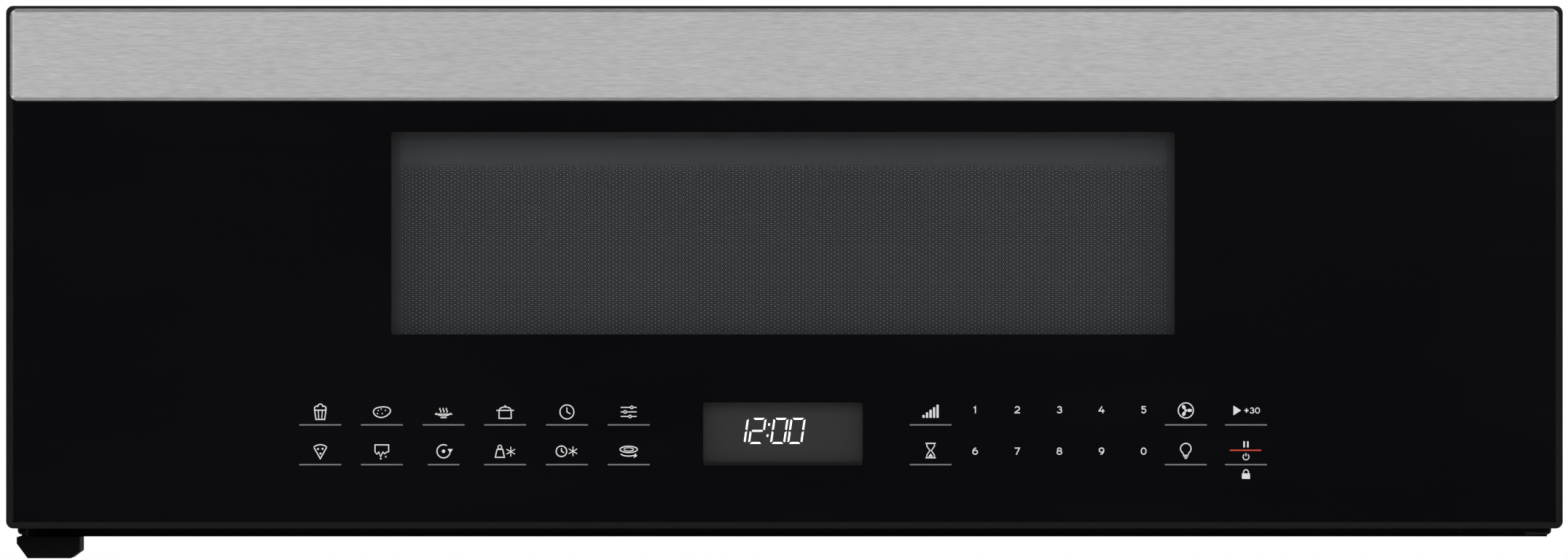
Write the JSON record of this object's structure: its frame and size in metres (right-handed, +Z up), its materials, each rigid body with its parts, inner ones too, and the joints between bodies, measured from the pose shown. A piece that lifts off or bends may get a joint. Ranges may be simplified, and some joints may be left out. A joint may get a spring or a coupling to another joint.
{
  "type": "over-the-range microwave oven",
  "caption": "Low-profile over-the-range microwave oven with a full-width dark glass door, stainless band, window, touch controls, turntable and extraction blowers.",
  "frame": {"origin": "centre of the back face of the wall mounting plate, where the oven meets the wall, at the case's mid height and mid width", "axes": "+X to the right as seen from the front, +Y back into the wall, +Z up; the door faces -Y"},
  "size_m": [0.7588, 0.4191, 0.2693],
  "materials": {
    "case_paint": "fine satin powder coat",
    "zinc_sheet": "plain zinc-coated sheet",
    "cavity_enamel": "speckled grey enamel",
    "black_plastic": "fine moulded texture",
    "pale_plastic": "moulded",
    "front_glass": "polished, black printed behind",
    "clear_glass": "polished",
    "band_steel": "brushed along its length",
    "screen_paint": "satin paint on pierced sheet",
    "filter_aluminium": "expanded mesh in a folded frame",
    "charcoal": "granules in a net",
    "circuit_board": "lacquered board",
    "display_window": "smoked",
    "mica": "pressed mica",
    "core_iron": "laminated and varnished",
    "can_aluminium": "drawn can",
    "white_acetal": "moulded",
    "black_rubber": "soft",
    "light_lens": "frosted",
    "hinge_steel": "black passivated steel"
  },
  "bodies": {
    "chassis": {"outer_cabinet": "case_paint", "back_panel": "zinc_sheet", "base_pan": "case_paint", "wall_mounting_plate": "zinc_sheet", "front_frame": "case_paint", "cabinet_weld_nuts": "zinc_sheet", "door_bumpers": "black_rubber", "power_cord_bushing": "black_plastic", "oven_cavity": "cavity_enamel", "waveguide_cover": "mica", "cavity_lamp": "zinc_sheet", "cavity_sensors": "black_plastic", "turntable_motor": "zinc_sheet", "waveguide": "zinc_sheet", "magnetron": "can_aluminium", "high_voltage_transformer": "core_iron", "high_voltage_capacitor": "can_aluminium", "cooling_fan_shroud": "zinc_sheet", "cooling_fan_motor": "core_iron", "power_board": "circuit_board", "surface_light_lenses": "light_lens", "surface_light_boards": "circuit_board", "blower_housing_left": "zinc_sheet", "blower_housing_right": "zinc_sheet", "blower_motors": "core_iron", "exhaust_collar": "zinc_sheet", "top_vent_grille": "black_plastic", "charcoal_filter": "charcoal", "upper_hinge_bracket": "hinge_steel", "lower_hinge_bracket": "hinge_steel", "lower_hinge_cover": "black_plastic", "latch_receiver": "white_acetal", "interlock_switches": "black_plastic"},
    "door": {"door_frame": "black_plastic", "front_glass": "front_glass", "stainless_band": "band_steel", "door_back_cover": "black_plastic", "choke_panel": "screen_paint", "choke_cover": "black_plastic", "window_screen": "screen_paint", "inner_window": "clear_glass", "touch_board": "circuit_board", "display_module": "display_window"},
    "latch": {"latch_slider": "white_acetal"},
    "turntable": {"turntable_tray": "clear_glass", "drive_coupler": "white_acetal"},
    "stay": {"roller_stay": "white_acetal"},
    "roller_a": {"roller_1": "white_acetal"},
    "roller_b": {"roller_2": "white_acetal"},
    "roller_c": {"roller_3": "white_acetal"},
    "damper": {"damper_flap": "zinc_sheet"},
    "wheel_left": {"blower_wheel_left": "pale_plastic"},
    "wheel_right": {"blower_wheel_right": "pale_plastic"},
    "fan": {"cooling_fan": "pale_plastic"},
    "filter_left": {"grease_filter_left": "filter_aluminium"},
    "filter_right": {"grease_filter_right": "filter_aluminium"}
  },
  "joints": [
    {"name": "door_hinge", "type": "hinge", "parent": "chassis", "child": "door", "pos_m": [-0.3642, -0.393, 0], "axis": [0, 0, -1], "range_deg": [0, 100]},
    {"name": "latch_lift", "type": "slide", "parent": "door", "child": "latch", "axis": [0, 0, 1], "range_m": [0, 0.0045], "stiffness_N_per_m": 300, "springref_m": -0.004},
    {"name": "turntable_spin", "type": "hinge", "parent": "chassis", "child": "turntable", "pos_m": [0, -0.2088, -0.08], "axis": [0, 0, 1], "continuous": true},
    {"name": "stay_spin", "type": "hinge", "parent": "chassis", "child": "stay", "pos_m": [0, -0.2088, -0.07985], "axis": [0, 0, 1], "continuous": true},
    {"name": "roller_a_spin", "type": "hinge", "parent": "stay", "child": "roller_a", "pos_m": [0, -0.0988, -0.07985], "axis": [0, 1, 0], "continuous": true},
    {"name": "roller_b_spin", "type": "hinge", "parent": "stay", "child": "roller_b", "pos_m": [-0.09526, -0.2638, -0.07985], "axis": [-0.866, -0.5, 0], "continuous": true},
    {"name": "roller_c_spin", "type": "hinge", "parent": "stay", "child": "roller_c", "pos_m": [0.09526, -0.2638, -0.07985], "axis": [0.866, -0.5, 0], "continuous": true},
    {"name": "damper_swing", "type": "hinge", "parent": "chassis", "child": "damper", "pos_m": [0, -0.0251, 0.12325], "axis": [-1, 0, 0], "range_deg": [0, 75]},
    {"name": "blower_left_spin", "type": "hinge", "parent": "chassis", "child": "wheel_left", "pos_m": [-0.212, -0.146, 0.096], "axis": [0, 0, 1], "continuous": true},
    {"name": "blower_right_spin", "type": "hinge", "parent": "chassis", "child": "wheel_right", "pos_m": [0.212, -0.146, 0.096], "axis": [0, 0, 1], "continuous": true},
    {"name": "cooling_fan_spin", "type": "hinge", "parent": "chassis", "child": "fan", "pos_m": [0.3125, -0.0546, 0.015], "axis": [0, 1, 0], "continuous": true},
    {"name": "filter_left_drop", "type": "slide", "parent": "chassis", "child": "filter_left", "axis": [0, 0, -1], "range_m": [0, 0.06]},
    {"name": "filter_right_drop", "type": "slide", "parent": "chassis", "child": "filter_right", "axis": [0, 0, -1], "range_m": [0, 0.06]}
  ],
  "couplings": [
    {"joint": "stay_spin", "follows": "turntable_spin", "ratio": 0.5},
    {"joint": "roller_a_spin", "follows": "turntable_spin", "ratio": -7.3333},
    {"joint": "roller_b_spin", "follows": "turntable_spin", "ratio": -7.3333},
    {"joint": "roller_c_spin", "follows": "turntable_spin", "ratio": -7.3333}
  ]
}
